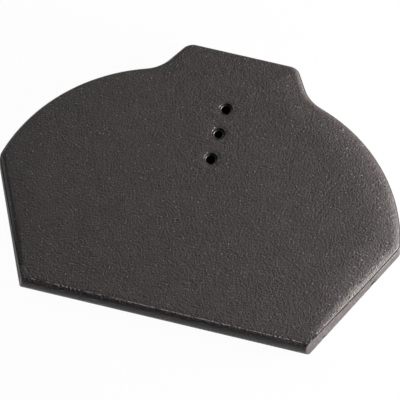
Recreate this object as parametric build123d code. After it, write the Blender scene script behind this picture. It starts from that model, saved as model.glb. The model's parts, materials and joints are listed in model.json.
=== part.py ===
"""Clay ridge end tile: a pressed and fired flat tile that closes the open end of a roof ridge.

The tile lies on its back, face up. X runs across it, Y from the foot edge to the crest, Z through its
thickness. It is drawn with Y = 0 on the foot edge and Z = 0 on the back, and moved at the end so that
the origin is under the middle of its box.
"""

import os
from math import atan2, cos, degrees, radians, sin, sqrt, tan

from build123d import *

# Body
thickness = 12.0
wall_draft = 8.0  # degrees: the walls lean in from the back towards the face
back_edge_radius = 0.8

# Outline of the back, the tile's largest section, as its corners lie before they are rounded
foot_half_width = 98.0
shoulder_half_width = 138.0
shoulder_height = 87.2  # from the foot edge up to the shoulder corner
shoulder_rise = 95.0  # from the shoulder corner up to the neck
shoulder_radius = 119.5
neck_radius = 25.0
crest_rise = 24.2  # from the neck up to the top edge
crest_half_width = 38.6
crest_flare = 14.1  # how much further out the crest's sides stand at the neck than at the top

# Foot edge: a shallow bullnose between two sharp edges
foot_bulge = 2.6
foot_corner_radius = 1.0

# Rolled rim of the face, which fades out down each flank and is absent along the foot
rim_width = 7.6
rim_drop = 4.4
rim_roll_radius = 10.5
rim_inner_radius = 0.5  # how round the rim's cut is inside the corners of the outline
rim_fade_height = 46.0  # the rim starts to fade about this height over the foot edge
rim_fade_bend = 16.0  # how far each way the seam takes to bend from level to rising

# Nail holes on the centre line, each with a sunk seat for the head and a rounded mouth
hole_pitch = 20.0
lowest_hole_height = 118.8
nail_hole_radii = (3.15, 2.75, 3.15)  # from the lowest hole to the highest
seat_radius = 4.1
seat_depth = 2.4
mouth_radius = 0.8

# How far the drawn outline runs past the foot edge, and a cutting shape past what it cuts
foot_run_on = 6.0
overrun = 12.0
rim_overrun = 1.6
rim_run_in = 0.8

quarter_turn = 90


def along(angle):
    """Unit vector at an angle from the centre line, towards +X."""
    return Vector(sin(radians(angle)), cos(radians(angle)))


def inset_at(height):
    """How far the leaning wall stands in from the back outline at a height over the back."""
    return height * tan(radians(wall_draft))


seam_height = thickness - rim_drop
seam_inset = inset_at(seam_height)
corner_radius = rim_inner_radius + rim_run_in + rim_width + seam_inset
neck_height = shoulder_height + shoulder_rise
crest_height = neck_height + crest_rise

foot_corner = Vector(foot_half_width, 0)
shoulder_corner = Vector(shoulder_half_width, shoulder_height)
neck_corner = Vector(crest_half_width + crest_flare, neck_height)
crest_corner = Vector(crest_half_width, crest_height)

flank_lean = degrees(atan2(shoulder_half_width - foot_half_width, shoulder_height))
flank_up = along(flank_lean)
flank_out = along(flank_lean + quarter_turn)
crest_lean = degrees(atan2(crest_flare, crest_rise))
crest_up = along(-crest_lean)
crest_out = along(quarter_turn - crest_lean)


def shoulder_centre():
    """Centre of the shoulder's arc, which runs from the shoulder corner to the neck corner."""
    chord = neck_corner - shoulder_corner
    inward = Axis.Z.direction.cross(chord).normalized()
    return shoulder_corner + chord / 2 + inward * sqrt(shoulder_radius**2 - chord.dot(chord) / 4)


def leaving_point(start, direction, reach):
    """Where a line that runs up the tile leaves the circle of a given reach about the shoulder's centre."""
    offset = start - shoulder_centre()
    slide = offset.dot(direction)
    return start + direction * (sqrt(slide**2 - offset.dot(offset) + reach**2) - slide)


def at_height(start, direction, height):
    """Where a line through a point reaches a height over the foot edge."""
    return start + direction * ((height - start.Y) / direction.Y)


def angle_of(direction):
    """A direction in degrees from +X."""
    return Axis.X.direction.get_signed_angle(direction, Axis.Z.direction)


def arc(centre, radius, first, last):
    """Arc about a centre, between two directions."""
    return CenterArc(centre, radius, angle_of(first), angle_of(last) - angle_of(first))


def crest_to_shoulder(inset, start_x):
    """The smooth run from the top edge over the crest, neck and shoulder, inset from the back's outline.

    It starts on the top edge and ends where the right flank starts.
    """
    shoulder = shoulder_centre()
    top = at_height(crest_corner - crest_out * corner_radius, crest_up, crest_height - corner_radius)
    neck = leaving_point(crest_corner + crest_out * neck_radius, crest_up, shoulder_radius + neck_radius)
    side = leaving_point(foot_corner - flank_out * corner_radius, flank_up, shoulder_radius - corner_radius)
    turn_radius = corner_radius - inset
    hollow_radius = neck_radius + inset
    return [
        Line((start_x, crest_height - inset), (top.X, crest_height - inset)),
        arc(top, turn_radius, Axis.Y.direction, crest_out),
        Line(top + crest_out * turn_radius, neck - crest_out * hollow_radius),
        arc(neck, hollow_radius, -crest_out, shoulder - neck),
        arc(shoulder, shoulder_radius - inset, neck - shoulder, side - shoulder),
        arc(side, turn_radius, side - shoulder, flank_out),
    ]


def back_outline():
    """The back's outline with its corners rounded, run on past the foot edge, as a face."""
    run = crest_to_shoulder(0, 0)
    low = at_height(foot_corner, flank_up, -foot_run_on)
    right = [*run, Line(run[-1] @ 1, low), Line(low, (0, low.Y))]
    return make_face([edge.mirror(Plane.YZ) for edge in right] + right)


def foot_cutter():
    """What lies outside the foot's bullnose, along the whole foot edge."""
    face_edge = (0, thickness)
    back_edge = (0, 0)
    nose = ThreePointArc(back_edge, (-foot_bulge, thickness / 2), face_edge)
    rest = Polyline(
        face_edge,
        (0, thickness + overrun),
        (-overrun, thickness + overrun),
        (-overrun, -overrun),
        (0, -overrun),
        back_edge,
    )
    return extrude(Plane.YZ * make_face([nose, rest]), foot_half_width + overrun, both=True)


def rim_section():
    """What lies above the rolled rim, in the upright plane across the middle of the top edge."""
    seam = Vector(-overrun, crest_height - seam_inset, seam_height)
    upright = Plane(origin=seam, x_dir=-Axis.Y.direction, z_dir=-Axis.X.direction)
    middle = Vector(rim_width, rim_drop) / 2
    away = Vector(rim_drop, -rim_width).normalized()
    centre = middle + away * sqrt(rim_roll_radius**2 - middle.dot(middle))
    outer = -rim_overrun
    inner = rim_width + rim_run_in
    top = rim_drop + rim_overrun
    roll_start = (outer, centre.Y + sqrt(rim_roll_radius**2 - (outer - centre.X) ** 2))
    roll_end = (inner, centre.Y + sqrt(rim_roll_radius**2 - (inner - centre.X) ** 2))
    roll = ThreePointArc(roll_start, (0, 0), roll_end)
    rest = Polyline(roll_end, (inner, top), (outer, top), roll_start)
    return upright * make_face([roll, rest])


def on_wall(height, level):
    """A point of the right flank's wall, at a height over the foot edge and a level over the back."""
    plan = at_height(foot_corner - flank_out * inset_at(level), flank_up, height)
    return Vector(plan.X, plan.Y, level)


def rim_cutter():
    """Rim cutter of the right side. Its seam is level as far as the flank and then rises to the foot corner."""
    run = Pos(0, 0, seam_height) * Wire(crest_to_shoulder(seam_inset, -overrun))
    fade = on_wall(rim_fade_height, seam_height)
    foot = on_wall(0, thickness)
    rising = (foot - fade).normalized()
    bend_start = fade + flank_up * rim_fade_bend
    bend_end = fade + rising * rim_fade_bend
    flank = [
        Line(run @ 1, bend_start),
        TangentArc(bend_start, bend_end, tangent=-flank_up),
        Line(bend_end, foot + rising * overrun),
    ]
    return sweep(rim_section(), path=Wire([*run.edges(), *flank]))


def hole_cutter(height, nail_radius):
    """A nail hole with its sunk seat and rounded mouth, at a height over the foot edge."""
    seat_floor = thickness - seat_depth
    mouth_start = thickness - mouth_radius
    mouth_rim = seat_radius + mouth_radius
    mouth = RadiusArc((seat_radius, mouth_start), (mouth_rim, thickness), mouth_radius)
    rest = Polyline(
        (mouth_rim, thickness),
        (mouth_rim, thickness + overrun),
        (0, thickness + overrun),
        (0, -overrun),
        (nail_radius, -overrun),
        (nail_radius, seat_floor),
        (seat_radius, seat_floor),
        (seat_radius, mouth_start),
    )
    turned = revolve(Plane.XZ * make_face([mouth, rest]), Axis.Z)
    return Pos(0, height) * turned


def ridge_end_tile():
    """The whole tile as one solid."""
    tile = extrude(back_outline(), thickness, taper=wall_draft)
    tile -= foot_cutter()
    foot_corners = tile.edges().filter_by(lambda edge: edge.center().Y < -foot_bulge / 2)
    tile = fillet(foot_corners, foot_corner_radius)
    rim = rim_cutter()
    tile -= rim
    tile -= rim.mirror(Plane.YZ)
    for place, nail_radius in enumerate(nail_hole_radii):
        tile -= hole_cutter(lowest_hole_height + place * hole_pitch, nail_radius)
    back = tile.faces().sort_by(Axis.Z)[0]
    return fillet(back.outer_wire().edges(), back_edge_radius)


tile = ridge_end_tile()
os.makedirs("parts", exist_ok=True)
export_step(Pos(0, -tile.bounding_box().center().Y) * tile, "parts/ridge_end_tile.step")
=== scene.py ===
"""Clay ridge end tile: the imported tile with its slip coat, grain, seam groove, foot bead and chipped edges.

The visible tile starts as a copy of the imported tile's mesh. Its face, rim and walls are divided finely,
the drooping of the face towards its rim and the marks of pressing and firing are worked into the mesh,
and the slip coat goes on last. The tile lies on its back on a pale floor under soft studio light.
"""

import json
import logging
from contextlib import contextmanager
from dataclasses import dataclass, field
from enum import Enum
from math import cos, radians, sin
from typing import Iterator, Union

import bmesh
import bpy
import numpy as np
from mathutils import Matrix, Vector
from mathutils.kdtree import KDTree


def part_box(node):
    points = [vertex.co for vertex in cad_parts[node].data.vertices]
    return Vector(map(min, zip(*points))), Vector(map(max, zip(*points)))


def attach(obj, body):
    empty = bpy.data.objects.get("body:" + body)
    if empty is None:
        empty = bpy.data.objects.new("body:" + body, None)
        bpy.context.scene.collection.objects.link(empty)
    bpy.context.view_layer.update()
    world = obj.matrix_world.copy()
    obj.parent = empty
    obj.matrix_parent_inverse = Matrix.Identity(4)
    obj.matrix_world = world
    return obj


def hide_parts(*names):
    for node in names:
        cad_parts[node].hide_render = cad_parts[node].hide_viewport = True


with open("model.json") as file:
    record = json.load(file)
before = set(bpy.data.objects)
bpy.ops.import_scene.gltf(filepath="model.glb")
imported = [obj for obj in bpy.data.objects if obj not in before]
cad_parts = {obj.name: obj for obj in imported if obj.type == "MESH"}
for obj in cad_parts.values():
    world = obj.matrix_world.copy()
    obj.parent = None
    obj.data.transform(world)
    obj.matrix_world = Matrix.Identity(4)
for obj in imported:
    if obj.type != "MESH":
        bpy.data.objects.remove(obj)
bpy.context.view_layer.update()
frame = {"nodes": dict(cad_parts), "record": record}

log = logging.getLogger("ridge_end_tile")

MM = 0.001
TILE_NODE = "ridge_end_tile"
TILE_BODY = "root"

Colour = tuple[float, float, float]
Place = tuple[float, float, float]
Limits = tuple[float, float]
Socket = bpy.types.NodeSocket
Nodes = bpy.types.NodeTree


class Zone(Enum):
    """Zones of the tile's skin that are worked differently."""

    COATED = "coated"
    BEAD = "bead"


class Skin(Enum):
    """Attributes of the tile's skin that the coat reads."""

    GRAINY = "grainy"
    # Where the coat paints shade: the bottom of the seam's groove and the chips
    GROOVE = "groove"


class Pick(Enum):
    """What is selected in edit mode."""

    EDGES = "EDGE"
    FACES = "FACE"


class Operation(Enum):
    """What a material does with two values."""

    PRODUCT = "MULTIPLY"
    GREATER_OF = "MAXIMUM"
    IS_GREATER = "GREATER_THAN"


@contextmanager
def editing(piece: bpy.types.Object, pick: Pick = Pick.FACES) -> Iterator[bmesh.types.BMesh]:
    """Edit mode on one piece alone, with nothing of it selected.

    Args:
        piece: The mesh object to work on.
        pick: What is selected.

    Returns:
        Its edit mesh, for selecting by place or normal.
    """
    bpy.ops.object.select_all(action="DESELECT")
    piece.select_set(True)
    bpy.context.view_layer.objects.active = piece
    bpy.ops.object.mode_set(mode="EDIT")
    bpy.ops.mesh.select_mode(type=pick.value)
    bpy.ops.mesh.select_all(action="DESELECT")
    try:
        yield bmesh.from_edit_mesh(piece.data)
    finally:
        bpy.ops.object.mode_set(mode="OBJECT")


def split_into_triangles() -> None:
    """Splits all faces of the piece in edit mode into triangles."""
    bpy.ops.mesh.select_all(action="SELECT")
    bpy.ops.mesh.quads_convert_to_tris(quad_method="SHORTEST_DIAGONAL", ngon_method="BEAUTY")


def vectors_of(entries: bpy.types.bpy_prop_collection, name: str) -> np.ndarray:
    """Reads a vector of every vertex of a mesh.

    Args:
        entries: The mesh's vertices, or the vectors of its vertices.
        name: Which vector.

    Returns:
        The vectors, one a row.
    """
    flat = np.empty(len(entries) * 3)
    entries.foreach_get(name, flat)
    return flat.reshape(-1, 3)


def smooth_step(value: np.ndarray, low: float, high: float) -> np.ndarray:
    """Rises smoothly from 0 to 1 between two levels.

    Args:
        value: The values.
        low: Where the rise starts.
        high: Where it ends.

    Returns:
        A share for each value.
    """
    share = np.clip((value - low) / (high - low), 0, 1)
    return share * share * (3 - 2 * share)


def calculated(tree: Nodes, operation: Operation, first: Socket, second: Union[Socket, float]) -> Socket:
    """Adds a calculation with two values to a material.

    Args:
        tree: The material's nodes.
        operation: What is done with the two.
        first: A value.
        second: Another value, or a number.

    Returns:
        The outcome.
    """
    node = tree.nodes.new("ShaderNodeMath")
    node.operation = operation.value
    tree.links.new(first, node.inputs[0])
    if isinstance(second, float):
        node.inputs[1].default_value = second
    else:
        tree.links.new(second, node.inputs[1])
    return node.outputs["Value"]


@dataclass(frozen=True)
class Relief:
    """A cloudy unevenness of the clay, worked into one zone of the skin."""

    zone: Zone
    lump: float
    height: float
    layers: int = 2
    middle: float = 0.5

    def work_into(self, piece: bpy.types.Object) -> None:
        """Displaces a piece's skin.

        Args:
            piece: The mesh object, with a vertex group for the zone.
        """
        texture = bpy.data.textures.new(self.zone.value, "CLOUDS")
        texture.noise_scale = self.lump
        texture.noise_depth = self.layers
        modifier = piece.modifiers.new(self.zone.value, "DISPLACE")
        modifier.texture = texture
        modifier.texture_coords = "LOCAL"
        modifier.strength = self.height
        modifier.mid_level = self.middle
        modifier.vertex_group = self.zone.value
        bpy.context.view_layer.objects.active = piece
        bpy.ops.object.modifier_apply(modifier=modifier.name)


@dataclass(frozen=True)
class SlipCoat:
    """The matt anthracite slip that covers the fired clay."""

    name: str = "anthracite_slip"
    dark: Colour = (0.0490, 0.0415, 0.0425)
    light: Colour = (0.0600, 0.0515, 0.0530)
    warm: Colour = (0.0640, 0.0500, 0.0440)
    cool: Colour = (0.0480, 0.0440, 0.0490)
    # Painted shade: darker coat where the grain's bump is low, in its hollows
    pit_shade: Colour = (0.0250, 0.0210, 0.0210)
    # Painted glints: pale specks that stand in for grains catching the light
    painted_glint: Colour = (0.19, 0.18, 0.175)
    # Painted shade for the bottom of the seam's groove and for the chips
    painted_shade: Colour = (0.010, 0.009, 0.009)
    # Sizes of the patterns
    light_size: float = 9 * MM
    warm_size: float = 4 * MM
    cool_size: float = 5.2 * MM
    grain_size: float = 1.3 * MM
    speck_size: float = 1.2 * MM
    cloud_detail: float = 3.0
    grain_detail: float = 2.0
    speck_detail: float = 0.0
    # From where to where in its pattern each colour comes in
    light_limits: Limits = (0.36, 0.66)
    warm_limits: Limits = (0.50, 0.72)
    cool_limits: Limits = (0.52, 0.74)
    pit_shade_limits: Limits = (0.52, 0.24)
    painted_glint_limits: Limits = (0.72, 0.80)
    painted_shade_limits: Limits = (0.0, 0.5)
    # Surface
    bump_height: float = 0.5 * MM
    smooth_share: float = 0.1
    wall_roughness: float = 0.35
    face_roughness: float = 0.60
    shine: float = 0.5

    def material(self) -> bpy.types.Material:
        """Builds the slip coat.

        Returns:
            A node material with cloudy colour, painted glints, grain with painted shade in its hollows, and
            painted shade in the seam and the chips.
        """
        material = bpy.data.materials.new(self.name)
        material.use_nodes = True
        tree = material.node_tree
        shader = tree.nodes["Principled BSDF"]
        place = tree.nodes.new("ShaderNodeTexCoord").outputs["Object"]
        grainy = self.attribute(tree, Skin.GRAINY)
        groove = self.attribute(tree, Skin.GROOVE)
        grain = self.noise(tree, place, self.grain_size, self.grain_detail)

        colour = self.cloudy_colour(tree, place)
        # The speck pattern that places the painted glints
        specks = self.noise(tree, place, self.speck_size, self.speck_detail)
        # Painted shade in the grain's hollows, and painted glints, on the grainy skin
        marks = ((grain, self.pit_shade_limits, self.pit_shade), (specks, self.painted_glint_limits, self.painted_glint))
        for pattern, limits, tint in marks:
            share = calculated(tree, Operation.PRODUCT, self.spread(tree, pattern, *limits), grainy)
            colour = self.blend(tree, share, colour, tint)
        # Painted shade in the seam's groove and the chips
        colour = self.blend(tree, self.spread(tree, groove, *self.painted_shade_limits), colour, self.painted_shade)
        tree.links.new(colour, shader.inputs["Base Color"])

        roughness = self.between(tree, grainy, self.wall_roughness, self.face_roughness)
        tree.links.new(roughness, shader.inputs["Roughness"])
        # The groove and the chips also lose their highlights, which deepens the painted shade
        tree.links.new(self.between(tree, groove, self.shine, 0.0), shader.inputs["Specular IOR Level"])

        rough_share = calculated(tree, Operation.PRODUCT, grainy, grainy)
        depth = self.between(tree, rough_share, self.smooth_share, 1.0)
        bump = tree.nodes.new("ShaderNodeBump")
        bump.inputs["Distance"].default_value = self.bump_height
        tree.links.new(calculated(tree, Operation.PRODUCT, grain, depth), bump.inputs["Height"])
        tree.links.new(bump.outputs["Normal"], shader.inputs["Normal"])
        return material

    def cloudy_colour(self, tree: Nodes, place: Socket) -> Socket:
        """Adds the coat's colour with its light, warm and cool clouds.

        Args:
            tree: The material's nodes.
            place: The coordinates that the clouds read.

        Returns:
            The colour.
        """
        colour = self.dark
        for size, limits, tint in (
            (self.light_size, self.light_limits, self.light),
            (self.warm_size, self.warm_limits, self.warm),
            (self.cool_size, self.cool_limits, self.cool),
        ):
            cloud = self.noise(tree, place, size, self.cloud_detail)
            colour = self.blend(tree, self.spread(tree, cloud, *limits), colour, tint)
        return colour

    def attribute(self, tree: Nodes, skin: Skin) -> Socket:
        """Adds a reading of one of the skin's attributes.

        Args:
            tree: The material's nodes.
            skin: The attribute.

        Returns:
            Its value.
        """
        node = tree.nodes.new("ShaderNodeAttribute")
        node.attribute_name = skin.value
        return node.outputs["Fac"]

    def noise(self, tree: Nodes, place: Socket, size: float, detail: float) -> Socket:
        """Adds a noise pattern.

        Args:
            tree: The material's nodes.
            place: The coordinates that it reads.
            size: The size of its lumps, in metres.
            detail: How many finer layers it has.

        Returns:
            The noise value.
        """
        node = tree.nodes.new("ShaderNodeTexNoise")
        node.inputs["Scale"].default_value = 1 / size
        node.inputs["Detail"].default_value = detail
        tree.links.new(place, node.inputs["Vector"])
        return node.outputs["Fac"]

    def between(self, tree: Nodes, share: Socket, first: float, last: float) -> Socket:
        """Adds a number that goes evenly from one to another.

        Args:
            tree: The material's nodes.
            share: How far it has gone, from 0 to 1.
            first: The number at 0.
            last: The number at 1.

        Returns:
            The number.
        """
        node = tree.nodes.new("ShaderNodeMapRange")
        node.inputs["To Min"].default_value = first
        node.inputs["To Max"].default_value = last
        tree.links.new(share, node.inputs["Value"])
        return node.outputs["Result"]

    def spread(self, tree: Nodes, value: Socket, low: float, high: float) -> Socket:
        """Stretches a value smoothly between two levels.

        Args:
            tree: The material's nodes.
            value: The value to stretch.
            low: What becomes 0.
            high: What becomes 1.

        Returns:
            The stretched value.
        """
        node = tree.nodes.new("ShaderNodeMapRange")
        node.interpolation_type = "SMOOTHSTEP"
        node.inputs["From Min"].default_value = low
        node.inputs["From Max"].default_value = high
        tree.links.new(value, node.inputs["Value"])
        return node.outputs["Result"]

    def blend(
        self,
        tree: Nodes,
        share: Socket,
        first: Union[Socket, Colour],
        second: Union[Socket, Colour],
    ) -> Socket:
        """Blends two colours.

        Args:
            tree: The material's nodes.
            share: How much of the second colour shows.
            first: A colour or a colour socket.
            second: A colour or a colour socket.

        Returns:
            The blended colour.
        """
        node = tree.nodes.new("ShaderNodeMix")
        node.data_type = "RGBA"
        tree.links.new(share, node.inputs["Factor"])
        for name, colour in (("A", first), ("B", second)):
            socket = next(entry for entry in node.inputs if entry.name == name and entry.type == "RGBA")
            if isinstance(colour, tuple):
                socket.default_value = (*colour, 1.0)
            else:
                tree.links.new(colour, socket)
        return next(entry for entry in node.outputs if entry.type == "RGBA")


@dataclass
class NailHole:
    """A stepped hole on the centre line: a bore with a low collar, in a sunk seat with a rounded mouth."""

    centre: Vector
    bore_radius: float
    face_level: float
    seat_radius: float = 4.1 * MM
    seat_depth: float = 2.4 * MM
    mouth_radius: float = 0.8 * MM
    shown_seat_depth: float = 1.35 * MM
    shown_mouth_radius: float = 0.45 * MM
    collar_height: float = 0.65 * MM

    @property
    def reach(self) -> float:
        """How far from the hole's axis its mouth ends."""
        return self.seat_radius + self.mouth_radius

    def distances(self, places: np.ndarray) -> np.ndarray:
        """How far places are from the hole's axis."""
        return np.hypot(places[:, 0] - self.centre.x, places[:, 1] - self.centre.y)

    def on_floor(self, places: np.ndarray, slack: float) -> np.ndarray:
        """Tells which of the places are on the floor of the seat."""
        off_floor = np.abs(places[:, 2] - self.face_level + self.seat_depth)
        return (off_floor < slack) & (self.distances(places) < self.seat_radius + slack)

    def rounded(self, places: np.ndarray, slack: float) -> np.ndarray:
        """Moves the points of the hole's facets to the true round, and its seat's floor up into a low collar.

        Args:
            places: The points, one a row.
            slack: How far off the true round a facet may be.

        Returns:
            The points, moved where they are on the hole's mouth, walls or floor.
        """
        moved = places.copy()
        away = self.distances(places)
        outward = (places[:, :2] - np.array(self.centre.xy)) / np.maximum(away, slack)[:, None]
        mouth_level = self.face_level - self.mouth_radius
        reach, level = away.copy(), places[:, 2].copy()
        mouth = (level > mouth_level) & (away > self.seat_radius - slack) & (away < self.reach)
        turn = np.stack([away - self.reach, level - mouth_level], 1)
        turn *= (self.mouth_radius / np.maximum(np.linalg.norm(turn, axis=1), slack))[:, None]
        reach[mouth] = self.reach + turn[mouth, 0]
        level[mouth] = mouth_level + turn[mouth, 1]
        for radius in (self.seat_radius, self.bore_radius):
            reach[~mouth & (np.abs(away - radius) < slack)] = radius
        seat = ~mouth & (away < self.seat_radius + slack)
        seat &= level > self.face_level - self.seat_depth - slack
        floor = seat & self.on_floor(places, slack)
        sunk = np.interp(
            self.face_level - level,
            (0, self.mouth_radius, self.seat_depth),
            (0, self.shown_mouth_radius, self.shown_seat_depth),
        )
        level = np.where(mouth | seat, self.face_level - sunk, level)
        spread = np.interp(
            reach,
            (self.bore_radius, self.seat_radius, self.reach),
            (self.bore_radius, self.reach - self.shown_mouth_radius, self.reach),
        )
        reach = np.where(mouth | seat, spread, reach)
        across = np.clip((away - self.bore_radius) / (self.seat_radius - self.bore_radius), 0, 1)
        # A parabola across the floor: 0 at the bore and at the wall, 1 half-way
        crown = 4 * across * (1 - across)
        level[floor] += self.collar_height * crown[floor]
        moved[:, :2] = np.array(self.centre.xy) + outward * reach[:, None]
        moved[:, 2] = level
        return moved


@dataclass(frozen=True)
class Chip:
    """A place where the clay is broken away, darkened with painted shade."""

    place: Place
    reach: float
    depth: float


@dataclass(frozen=True)
class RimProfile:
    """How the face comes down to the seam: a long droop, a shorter and steeper one, and a sharp edge.

    The short droop reaches further on the right. The long one is deeper there, and deepest and longest high up.
    """

    edge_drop: float = 0.3 * MM
    edge_reach: float = 0.6 * MM
    near_reach: float = 2.8 * MM
    near_reach_right: float = 5.0 * MM
    far_drop: float = 0.6 * MM
    far_drop_right: float = 2.2 * MM
    far_drop_high: float = 0.5 * MM
    far_reach: float = 20 * MM
    far_reach_high: float = 23 * MM
    # The long droop's greatest share of the rim's depth, which is less where the rim is shallow
    far_share: float = 0.6
    far_share_high: float = 0.12
    shallow_share: float = 0.4
    deep_rim: float = 3.5 * MM
    # Where across and up the tile the right and the high parts come in
    right_side: Limits = (0.02, 0.10)
    high_side: Limits = (-0.065, -0.02)
    squeeze_reach: float = 4 * MM
    squeeze: float = 1.7

    def inset(self, away: np.ndarray) -> np.ndarray:
        """Draws places near the seam closer to it, so that the steep edge is finely divided.

        Args:
            away: Distances from the seam, in plan.

        Returns:
            The new distances.
        """
        near = np.clip(away / self.squeeze_reach, 0, 1)
        return np.where(away < self.squeeze_reach, self.squeeze_reach * near**self.squeeze, away)

    def depth(self, away: np.ndarray, drop: np.ndarray, nearest: np.ndarray) -> np.ndarray:
        """How deep the skin lies under the flat face.

        Args:
            away: Distances from the lip over the seam, in plan.
            drop: How deep that lip lies at the nearest point of the seam.
            nearest: The nearest points of the seam, one a row.

        Returns:
            The depths.
        """
        edge = np.minimum(drop, self.edge_drop)
        right = smooth_step(nearest[:, 0], *self.right_side)
        high = right * smooth_step(nearest[:, 1], *self.high_side)
        far = self.far_drop + (self.far_drop_right - self.far_drop) * right + self.far_drop_high * high
        far_reach = self.far_reach + (self.far_reach_high - self.far_reach) * high
        rest = drop - edge
        most = (self.far_share + self.far_share_high * high) * rest
        far = np.minimum(far, most * np.clip(rest / self.deep_rim, self.shallow_share, 1))
        near = drop - edge - far
        near_reach = self.near_reach + (self.near_reach_right - self.near_reach) * right
        turn = 1 - np.clip(away / self.edge_reach, 0, 1)
        edge = edge * (1 - np.sqrt(1 - turn**2))
        near = near * (1 - np.clip(away / near_reach, 0, 1)) ** 2
        far = far * (1 - np.clip(away / far_reach, 0, 1)) ** 2
        return edge + near + far


@dataclass
class EndTile:
    """The tile: flat face, rolled rim, leaning walls and bullnosed foot, pressed in one piece."""

    coat: SlipCoat
    box: tuple[Vector, Vector]
    holes: list[NailHole]
    rim: RimProfile = RimProfile()
    chips: tuple[Chip, ...] = (
        Chip((0.1254, -0.0415, 0.0012), 2.7 * MM, 0.3 * MM),
        Chip((0.1041, -0.0883, 0.0012), 1.9 * MM, 0.3 * MM),
        Chip((0.1000, -0.0936, 0.0109), 0.8 * MM, 0.2 * MM),
    )
    chip_fade: float = 0.35
    reliefs: tuple[Relief, ...] = (
        Relief(Zone.COATED, 22 * MM, 0.12 * MM),
        Relief(Zone.COATED, 2.2 * MM, 0.10 * MM, layers=3),
        Relief(Zone.BEAD, 1.4 * MM, 0.32 * MM, layers=1, middle=0.2),
    )
    # How finely the skin is divided
    grid_step: float = 2.8 * MM
    skin_edge: float = 2.0 * MM
    rim_edge: float = 0.86 * MM
    rim_fine_depth: float = 1.0 * MM
    hole_edge: float = 0.4 * MM
    collar_edge: float = 0.3 * MM
    bead_edge: float = 0.5 * MM
    chip_edge: float = 0.6 * MM
    chip_foot: float = 0.15 * MM
    back_edge: float = 18 * MM
    back_band: float = 1.2 * MM
    rounds: int = 8
    # Seam
    seam_width: float = 0.3 * MM
    seam_rise: float = 0.88
    seam_sample: float = 0.05 * MM
    ledge: float = 0.62 * MM
    undercut: float = 0.3 * MM
    lip: float = 0.55 * MM
    lip_share: float = 0.6
    # Foot
    foot_droop: float = 0.8 * MM
    foot_push: float = 0.4 * MM
    foot_droop_reach: float = 2.6 * MM
    foot_droop_depth: float = 4.0 * MM
    bead_reach: float = 1.2 * MM
    # Grain and relief
    wall_grain: float = 0.7
    wall_relief: float = 0.35
    relief_slope: float = 0.7
    grain_slopes: Limits = (0.35, 0.75)
    hole_relief_band: Limits = (0.0, 4 * MM)
    hole_grain_band: Limits = (-0.3 * MM, 2.5 * MM)
    weight_steps: int = 20
    # How far upwards the wall, the roll and the face look: the upright part of their normals
    wall_slopes: Limits = (0.05, 0.3)
    roll_slope: float = 0.45
    upper_slope: float = 0.3
    # Angles in degrees
    flat_angle: float = 0.1
    sharp_angle: float = 32.0
    # Slack for finding and merging points
    level_slack: float = 0.03 * MM
    merge_distance: float = 0.002 * MM
    facet_slack: float = 0.12 * MM
    piece: bpy.types.Object = field(init=False)
    foot_line: float = field(init=False)
    seam_points: list[Vector] = field(init=False)

    @property
    def face_level(self) -> float:
        """The level of the flat face over the back."""
        return self.box[1].z

    @property
    def seam_level(self) -> float:
        """The lowest level of the seam over the back."""
        return min(point.z for point in self.seam_points)

    @property
    def groove_end(self) -> float:
        """Where the seam's groove ends, over the foot line."""
        return self.foot_line + self.bead_reach

    def places(self) -> np.ndarray:
        """Where the tile's vertices are, one a row."""
        return vectors_of(self.piece.data.vertices, "co")

    def normals(self) -> np.ndarray:
        """Which way the skin looks at each vertex, one a row."""
        return vectors_of(self.piece.data.vertex_normals, "vector")

    def move_skin(self, places: np.ndarray) -> None:
        """Gives the tile's vertices new places, one a row."""
        self.piece.data.vertices.foreach_set("co", places.ravel())
        self.piece.data.update()

    def build(self) -> bpy.types.Object:
        """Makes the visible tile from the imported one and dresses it.

        Returns:
            The finished tile.
        """
        self.start_from_node()
        self.cut_beside_foot()
        self.cut_seam_groove()
        self.grid_skin()
        self.divide_skin()
        self.round_holes()
        self.shape_rim()
        self.mark_grain()
        self.work_reliefs()
        self.droop_foot()
        self.break_chips()
        self.dress()
        return self.piece

    def start_from_node(self) -> None:
        """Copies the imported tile's mesh, merges its loose triangles and finds its foot line."""
        node = frame["nodes"][TILE_NODE]
        self.piece = bpy.data.objects.new("tile", node.data.copy())
        bpy.context.scene.collection.objects.link(self.piece)
        with editing(self.piece):
            bpy.ops.mesh.select_all(action="SELECT")
            bpy.ops.mesh.remove_doubles(threshold=self.merge_distance)
        places = self.places()
        self.foot_line = float(places[places[:, 2] > self.face_level - self.level_slack, 1].min())

    def cut_beside_foot(self) -> None:
        """Cuts the mesh across, beside the foot edge, so that the seam's groove ends short of the corner."""
        with editing(self.piece):
            bpy.ops.mesh.select_all(action="SELECT")
            bpy.ops.mesh.bisect(plane_co=(0, self.groove_end, 0), plane_no=(0, 1, 0))

    def cut_seam_groove(self) -> None:
        """Cuts the fine groove between the rolled rim and the wall, and eases its rise to the foot corner."""
        with editing(self.piece, Pick.EDGES) as mesh:
            mesh.verts.layers.float.new(Skin.GROOVE.value)
            self.seam_points = []
            for edge in mesh.edges:
                if self.is_seam(edge):
                    edge.select_set(True)
                    first, second = (vertex.co.copy() for vertex in edge.verts)
                    count = int((second - first).length / self.seam_sample) + 1
                    self.seam_points += [first.lerp(second, step / count) for step in range(count + 1)]
            level = self.seam_level
            cut_levels = [point.z for point in self.seam_points]
            for point in self.seam_points:
                point.z = level + (point.z - level) * self.seam_rise
            bpy.ops.mesh.bevel(offset=self.seam_width, segments=2, profile=0.5, affect="EDGES")
            mesh = bmesh.from_edit_mesh(self.piece.data)
            painted_shade_marks = mesh.verts.layers.float[Skin.GROOVE.value]
            tree = self.seam_tree()
            rows = [vertex for vertex in mesh.verts if vertex.select]
            for vertex in rows:
                index = tree.find((vertex.co.x, vertex.co.y, 0))[1]
                point = self.seam_points[index]
                inward = -Vector((vertex.normal.x, vertex.normal.y, 0)).normalized()
                if all(face.select for face in vertex.link_faces):
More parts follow.
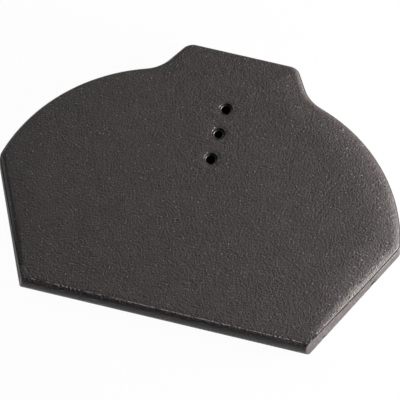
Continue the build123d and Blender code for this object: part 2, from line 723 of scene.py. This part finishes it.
                    # The groove's bottom is marked for painted shade
                    vertex[painted_shade_marks] = 1
                    vertex.co = point + inward * (self.ledge + self.undercut)
                elif vertex.co.z < cut_levels[index]:
                    vertex.co = point
                else:
                    vertex.co = point + inward * self.ledge
                    vertex.co.z += float(self.lip_over(point.z))
            bmesh.update_edit_mesh(self.piece.data)
        log.info("seam groove: %d points moved", len(rows))

    def is_seam(self, edge: bmesh.types.BMEdge) -> bool:
        """Tells whether an edge lies between the rolled rim and the wall.

        Args:
            edge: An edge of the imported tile's mesh.

        Returns:
            True where it does, down to the groove's end.
        """
        low = min(vertex.co.y for vertex in edge.verts)
        if len(edge.link_faces) != 2 or low < self.groove_end - self.level_slack:
            return False
        wall, roll = sorted(face.normal.z for face in edge.link_faces)
        return self.wall_slopes[0] < wall < self.wall_slopes[1] and roll > self.roll_slope

    def lip_over(self, level: Union[float, np.ndarray]) -> Union[float, np.ndarray]:
        """How high the rim's lip stands over the seam, which is less where the seam comes up to the face."""
        return np.minimum(self.lip, self.lip_share * np.maximum(self.face_level - level, 0))

    def seam_tree(self) -> KDTree:
        """Arranges the seam's points for finding the nearest one in plan.

        Returns:
            The points as a tree.
        """
        tree = KDTree(len(self.seam_points))
        for index, point in enumerate(self.seam_points):
            tree.insert((point.x, point.y, 0), index)
        tree.balance()
        return tree

    def grid_skin(self) -> None:
        """Cuts all but the back into even strips both ways, so that it divides evenly."""
        low, high = self.box
        with editing(self.piece) as mesh:
            for face in mesh.faces:
                face.select_set(face.calc_center_median().z > self.level_slack)
            bpy.ops.mesh.hide(unselected=True)
            bpy.ops.mesh.select_all(action="SELECT")
            bpy.ops.mesh.dissolve_limited(angle_limit=radians(self.flat_angle))
            for axis in range(2):
                normal = Vector((0, 0, 0))
                normal[axis] = 1
                count = int((high[axis] - low[axis]) / self.grid_step)
                for place in range(1, count + 1):
                    bpy.ops.mesh.select_all(action="SELECT")
                    cut = normal * (low[axis] + place * self.grid_step)
                    bpy.ops.mesh.bisect(plane_co=cut, plane_no=normal)
            bpy.ops.mesh.reveal(select=False)
            split_into_triangles()

    def wanted_edges(self, places: np.ndarray) -> np.ndarray:
        """How long a mesh edge may be at each place.

        Args:
            places: The edges' middles, one a row.

        Returns:
            The longest edge wanted at each, in metres.
        """
        level = places[:, 2]
        wanted = np.full(len(places), self.skin_edge)
        rolled = level < self.face_level - self.rim_fine_depth
        wanted[rolled & (level > self.seam_level - self.seam_width)] = self.rim_edge
        wanted[self.from_foot_edge(places) < self.bead_reach] = self.bead_edge
        for hole in self.holes:
            seat = level > self.face_level - hole.seat_depth - self.hole_edge
            wanted[seat & (hole.distances(places) < hole.reach + self.hole_edge)] = self.hole_edge
            wanted[hole.on_floor(places, self.facet_slack)] = self.collar_edge
        wanted[level < self.back_band] = self.back_edge
        for chip in self.chips:
            near = np.linalg.norm(places - chip.place, axis=1) < chip.reach + self.chip_edge
            wanted[near & (level > self.chip_foot)] = self.chip_edge
        return wanted

    def from_foot_edge(self, places: np.ndarray) -> np.ndarray:
        """How far places are from the edge between the face and the foot."""
        return np.hypot(places[:, 1] - self.foot_line, places[:, 2] - self.face_level)

    def divide_skin(self) -> None:
        """Divides the skin round by round, until no edge is longer than wanted or the rounds are used up."""
        for _ in range(self.rounds):
            mesh = self.piece.data
            places = self.places()
            ends = np.empty(len(mesh.edges) * 2, dtype=np.int32)
            mesh.edges.foreach_get("vertices", ends)
            first, second = places[ends[0::2]], places[ends[1::2]]
            long = np.linalg.norm(second - first, axis=1) > self.wanted_edges((first + second) / 2)
            if not long.any():
                break
            with editing(self.piece, Pick.EDGES) as edit:
                for edge, wanted in zip(edit.edges, long.tolist()):
                    if wanted:
                        edge.select_set(True)
                bpy.ops.mesh.subdivide(number_cuts=1)
                split_into_triangles()
        log.info("skin divided: %d triangles", len(self.piece.data.polygons))

    def round_holes(self) -> None:
        """Moves the holes' facets to the true round and shapes their seats."""
        places = self.places()
        for hole in self.holes:
            near = hole.distances(places) < hole.reach + self.facet_slack
            places[near] = hole.rounded(places[near], self.facet_slack)
        self.move_skin(places)

    def beside_seam(self, places: np.ndarray) -> tuple[list[int], np.ndarray]:
        """Finds the vertices of the face and rim that are within the droop's reach of the seam.

        Args:
            places: Where the tile's vertices are, one a row.

        Returns:
            The vertices' numbers, and the seam's nearest point to each, one a row.
        """
        upper = (self.normals()[:, 2] > self.upper_slope) & (places[:, 2] > self.seam_level)
        tree = self.seam_tree()
        reach = self.rim.far_reach_high + self.ledge
        picked, nearest = [], []
        for index in np.flatnonzero(upper).tolist():
            x, y, z = places[index]
            point = self.seam_points[tree.find((x, y, 0))[1]]
            away = np.hypot(x - point.x, y - point.y)
            if self.ledge < away < reach and z > point.z + self.lip_over(point.z) / 2:
                picked.append(index)
                nearest.append(point)
        return picked, np.array(nearest)

    def shape_rim(self) -> None:
        """Gives the rim its steep edge and lets the face droop towards it."""
        places = self.places()
        picked, nearest = self.beside_seam(places)
        moved = places[picked]
        lip_level = nearest[:, 2] + self.lip_over(nearest[:, 2])
        inward = moved[:, :2] - nearest[:, :2]
        away = np.linalg.norm(inward, axis=1)
        inset = self.rim.inset(away - self.ledge)
        drop = np.maximum(self.face_level - lip_level, 0)
        moved[:, :2] = nearest[:, :2] + inward * ((inset + self.ledge) / away)[:, None]
        moved[:, 2] = self.face_level - self.rim.depth(inset, drop, nearest)
        places[picked] = moved
        self.move_skin(places)
        log.info("rim shaped: %d points moved", len(picked))

    def mark_grain(self) -> None:
        """Marks how grainy the skin is: face most, walls less, fading out on the foot and in the holes."""
        places = self.places()
        face = smooth_step(self.normals()[:, 2], *self.grain_slopes)
        walls = np.where(places[:, 1] > self.groove_end, self.wall_grain, 0.0)
        share = np.maximum(face, walls)
        for hole in self.holes:
            share *= smooth_step(hole.distances(places) - hole.reach, *self.hole_grain_band)
        grainy = self.piece.data.attributes.new(Skin.GRAINY.value, "FLOAT", "POINT")
        grainy.data.foreach_set("value", share)

    def zone_weights(self) -> dict[Zone, np.ndarray]:
        """How strongly each relief is worked into each vertex.

        Returns:
            The weights of the zones, one for each vertex.
        """
        places = self.places()
        coated = np.where(self.normals()[:, 2] > self.relief_slope, 1.0, self.wall_relief)
        coated *= smooth_step(places[:, 2], self.back_band, 2 * self.back_band)
        for hole in self.holes:
            coated *= smooth_step(hole.distances(places) - hole.reach, *self.hole_relief_band)
        bead = 1 - np.clip(self.from_foot_edge(places) / self.bead_reach, 0, 1)
        return {Zone.COATED: coated, Zone.BEAD: bead}

    def work_reliefs(self) -> None:
        """Works the clay's waves and grain and the foot's bead into the skin."""
        for zone, weights in self.zone_weights().items():
            group = self.piece.vertex_groups.new(name=zone.value)
            steps = np.rint(weights * self.weight_steps).astype(int)
            for step in range(1, self.weight_steps + 1):
                picked = np.flatnonzero(steps == step).tolist()
                group.add(picked, step / self.weight_steps, "REPLACE")
        for relief in self.reliefs:
            relief.work_into(self.piece)

    def droop_foot(self) -> None:
        """Lets the face droop and spread a little towards the foot edge."""
        places = self.places()
        inside = 1 - np.clip((places[:, 1] - self.foot_line) / self.foot_droop_reach, 0, 1)
        depth = np.clip((places[:, 2] - self.face_level) / self.foot_droop_depth + 1, 0, 1)
        places[:, 2] -= self.foot_droop * inside**2 * depth
        places[:, 1] -= self.foot_push * inside**2 * depth
        self.move_skin(places)

    def break_chips(self) -> None:
        """Breaks small pieces out of the back edge and the seam, and paints shade into the breaks."""
        places = self.places()
        painted_shade_marks = self.piece.data.attributes[Skin.GROOVE.value].data
        painted_shade = np.empty(len(places), dtype=np.float32)
        painted_shade_marks.foreach_get("value", painted_shade)
        for chip in self.chips:
            centre = np.array(chip.place)
            away = np.linalg.norm(places - centre, axis=1)
            share = np.clip(1 - away / chip.reach, 0, 1) ** self.chip_fade
            inward = np.array([-centre[0], 0, 0]) / abs(centre[0])
            places += share[:, None] * inward * chip.depth
            # Each break is marked for painted shade
            painted_shade = np.maximum(painted_shade, share)
        painted_shade_marks.foreach_set("value", painted_shade.astype(np.float32))
        self.move_skin(places)

    def dress(self) -> None:
        """Shades the tile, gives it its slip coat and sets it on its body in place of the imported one."""
        bpy.ops.object.select_all(action="DESELECT")
        self.piece.select_set(True)
        bpy.context.view_layer.objects.active = self.piece
        bpy.ops.object.shade_smooth_by_angle(angle=radians(self.sharp_angle))
        self.piece.data.materials.clear()
        self.piece.data.materials.append(self.coat.material())
        self.piece.vertex_groups.clear()
        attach(self.piece, TILE_BODY)
        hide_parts(TILE_NODE)


@dataclass(frozen=True)
class SoftLight:
    """A rectangular soft light."""

    name: str
    place: Place
    aim: Place
    size: tuple[float, float]
    power: float
    spread: float = 180.0
    colour: Colour = (1.0, 1.0, 1.0)

    def hang(self) -> bpy.types.Object:
        """Hangs the light where it belongs, aimed at its target.

        Returns:
            The lamp.
        """
        light = bpy.data.lights.new(self.name, "AREA")
        light.shape = "RECTANGLE"
        light.size, light.size_y = self.size
        light.energy = self.power
        light.color = self.colour
        light.spread = radians(self.spread)
        lamp = bpy.data.objects.new(self.name, light)
        bpy.context.scene.collection.objects.link(lamp)
        lamp.location = Vector(self.place)
        lamp.rotation_euler = (Vector(self.place) - Vector(self.aim)).to_track_quat("Z", "Y").to_euler()
        return lamp


@dataclass
class Studio:
    """The pale floor, the soft lights and the camera."""

    floor_half: float = 6.0
    floor_white: float = 0.85
    background_share: float = 0.97
    shaded_reach: float = 0.08
    mirrored_white: float = 0.7
    room_light: float = 0.0
    lights: tuple[SoftLight, ...] = (
        SoftLight(
            "key", (0.771, 0.150, 0.150), (0.05, 0.0, 0.0), (0.45, 0.18), 24.5, colour=(1.0, 0.98, 0.945)
        ),
        SoftLight("fill", (-0.857, 0.857, 0.70), (0.0, 0.0, 0.0), (0.80, 0.60), 5.5),
        SoftLight("floor_light", (0.0, -0.47, 0.25), (0.0, -0.47, 0.0), (0.90, 0.30), 12.0, spread=60.0),
    )
    azimuth: float = 14.55
    elevation: float = 59.99
    roll: float = 0.40
    distance: float = 2.37771
    aim: Place = (0.001329, -0.015431, 0.012)
    lens: float = 324.5
    sensor: float = 36.0
    sight: float = 100.0

    def build(self) -> None:
        """Sets up the floor, the lights, the dark room and the camera."""
        self.lay_floor()
        for light in self.lights:
            light.hang()
        self.darken_room()
        self.place_camera()
        bpy.context.scene.view_settings.view_transform = "Standard"

    def lay_floor(self) -> None:
        """Lays the pale floor that the tile rests on."""
        bpy.ops.object.select_all(action="DESELECT")
        bpy.ops.mesh.primitive_plane_add(size=2 * self.floor_half, location=(0, 0, 0))
        floor = bpy.context.object
        floor.name = "floor"
        material = bpy.data.materials.new("pale_floor")
        material.use_nodes = True
        tree = material.node_tree
        tree.nodes.remove(tree.nodes["Principled BSDF"])
        lit = tree.nodes.new("ShaderNodeBsdfDiffuse")
        lit.inputs["Color"].default_value = (self.floor_white, self.floor_white, self.floor_white, 1)
        glow = tree.nodes.new("ShaderNodeEmission")
        path = tree.nodes.new("ShaderNodeLightPath")
        white = calculated(tree, Operation.GREATER_OF, path.outputs["Is Camera Ray"], self.mirrored_white)
        tree.links.new(white, glow.inputs["Strength"])
        mix = tree.nodes.new("ShaderNodeMixShader")
        tree.links.new(self.glow_share(tree), mix.inputs["Fac"])
        tree.links.new(lit.outputs["BSDF"], mix.inputs[1])
        tree.links.new(glow.outputs["Emission"], mix.inputs[2])
        tree.links.new(mix.outputs["Shader"], tree.nodes["Material Output"].inputs["Surface"])
        floor.data.materials.append(material)

    def glow_share(self, tree: Nodes) -> Socket:
        """Adds the share of the floor's own whiteness, which shows to the camera and in mirrored rays alone.

        Args:
            tree: The floor material's nodes.

        Returns:
            The share, which is 0 about the middle of the floor, under the tile.
        """
        path = tree.nodes.new("ShaderNodeLightPath")
        seen = path.outputs["Is Camera Ray"]
        for ray in ("Is Glossy Ray", "Is Transmission Ray"):
            seen = calculated(tree, Operation.GREATER_OF, seen, path.outputs[ray])
        away = tree.nodes.new("ShaderNodeVectorMath")
        away.operation = "LENGTH"
        tree.links.new(tree.nodes.new("ShaderNodeTexCoord").outputs["Object"], away.inputs[0])
        clear = calculated(tree, Operation.IS_GREATER, away.outputs["Value"], self.shaded_reach)
        seen = calculated(tree, Operation.PRODUCT, seen, clear)
        return calculated(tree, Operation.PRODUCT, seen, self.background_share)

    def darken_room(self) -> None:
        """Leaves the room dark, so that all light comes from the lamps and the floor."""
        world = bpy.data.worlds.new("room")
        world.use_nodes = True
        world.node_tree.nodes["Background"].inputs["Strength"].default_value = self.room_light
        bpy.context.scene.world = world

    def place_camera(self) -> None:
        """Places the camera where the photograph was taken from."""
        data = bpy.data.cameras.new("camera")
        data.lens = self.lens
        data.sensor_width = self.sensor
        data.clip_end = self.sight
        camera = bpy.data.objects.new("camera", data)
        bpy.context.scene.collection.objects.link(camera)
        turn, rise = radians(self.azimuth), radians(self.elevation)
        back = Vector((sin(turn) * cos(rise), -cos(turn) * cos(rise), sin(rise)))
        camera.location = Vector(self.aim) + back * self.distance
        level = back.to_track_quat("Z", "Y").to_matrix().to_4x4()
        camera.rotation_euler = (level @ Matrix.Rotation(radians(self.roll), 4, "Z")).to_euler()
        bpy.context.scene.camera = camera


def nail_holes(face_level: float) -> list[NailHole]:
    """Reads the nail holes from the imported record.

    Args:
        face_level: The level of the tile's face.

    Returns:
        The holes, from the lowest to the highest.
    """
    bores = [mount for mount in frame["record"]["mounts"] if mount["kind"] == "bore"]
    return [NailHole(Vector(mount["pos_m"]), mount["dims"]["r_mm"] * MM, face_level) for mount in bores]


def main() -> None:
    """Builds the tile and its studio."""
    logging.basicConfig(level=logging.INFO, format="%(name)s: %(message)s")
    box = tuple(Vector(corner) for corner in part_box(TILE_NODE))
    tile = EndTile(SlipCoat(), box, nail_holes(box[1].z)).build()
    log.info("tile: %d triangles", len(tile.data.polygons))
    Studio().build()
    log.info("floor, lights, dark room and camera set")


if __name__ == "__main__":
    main()
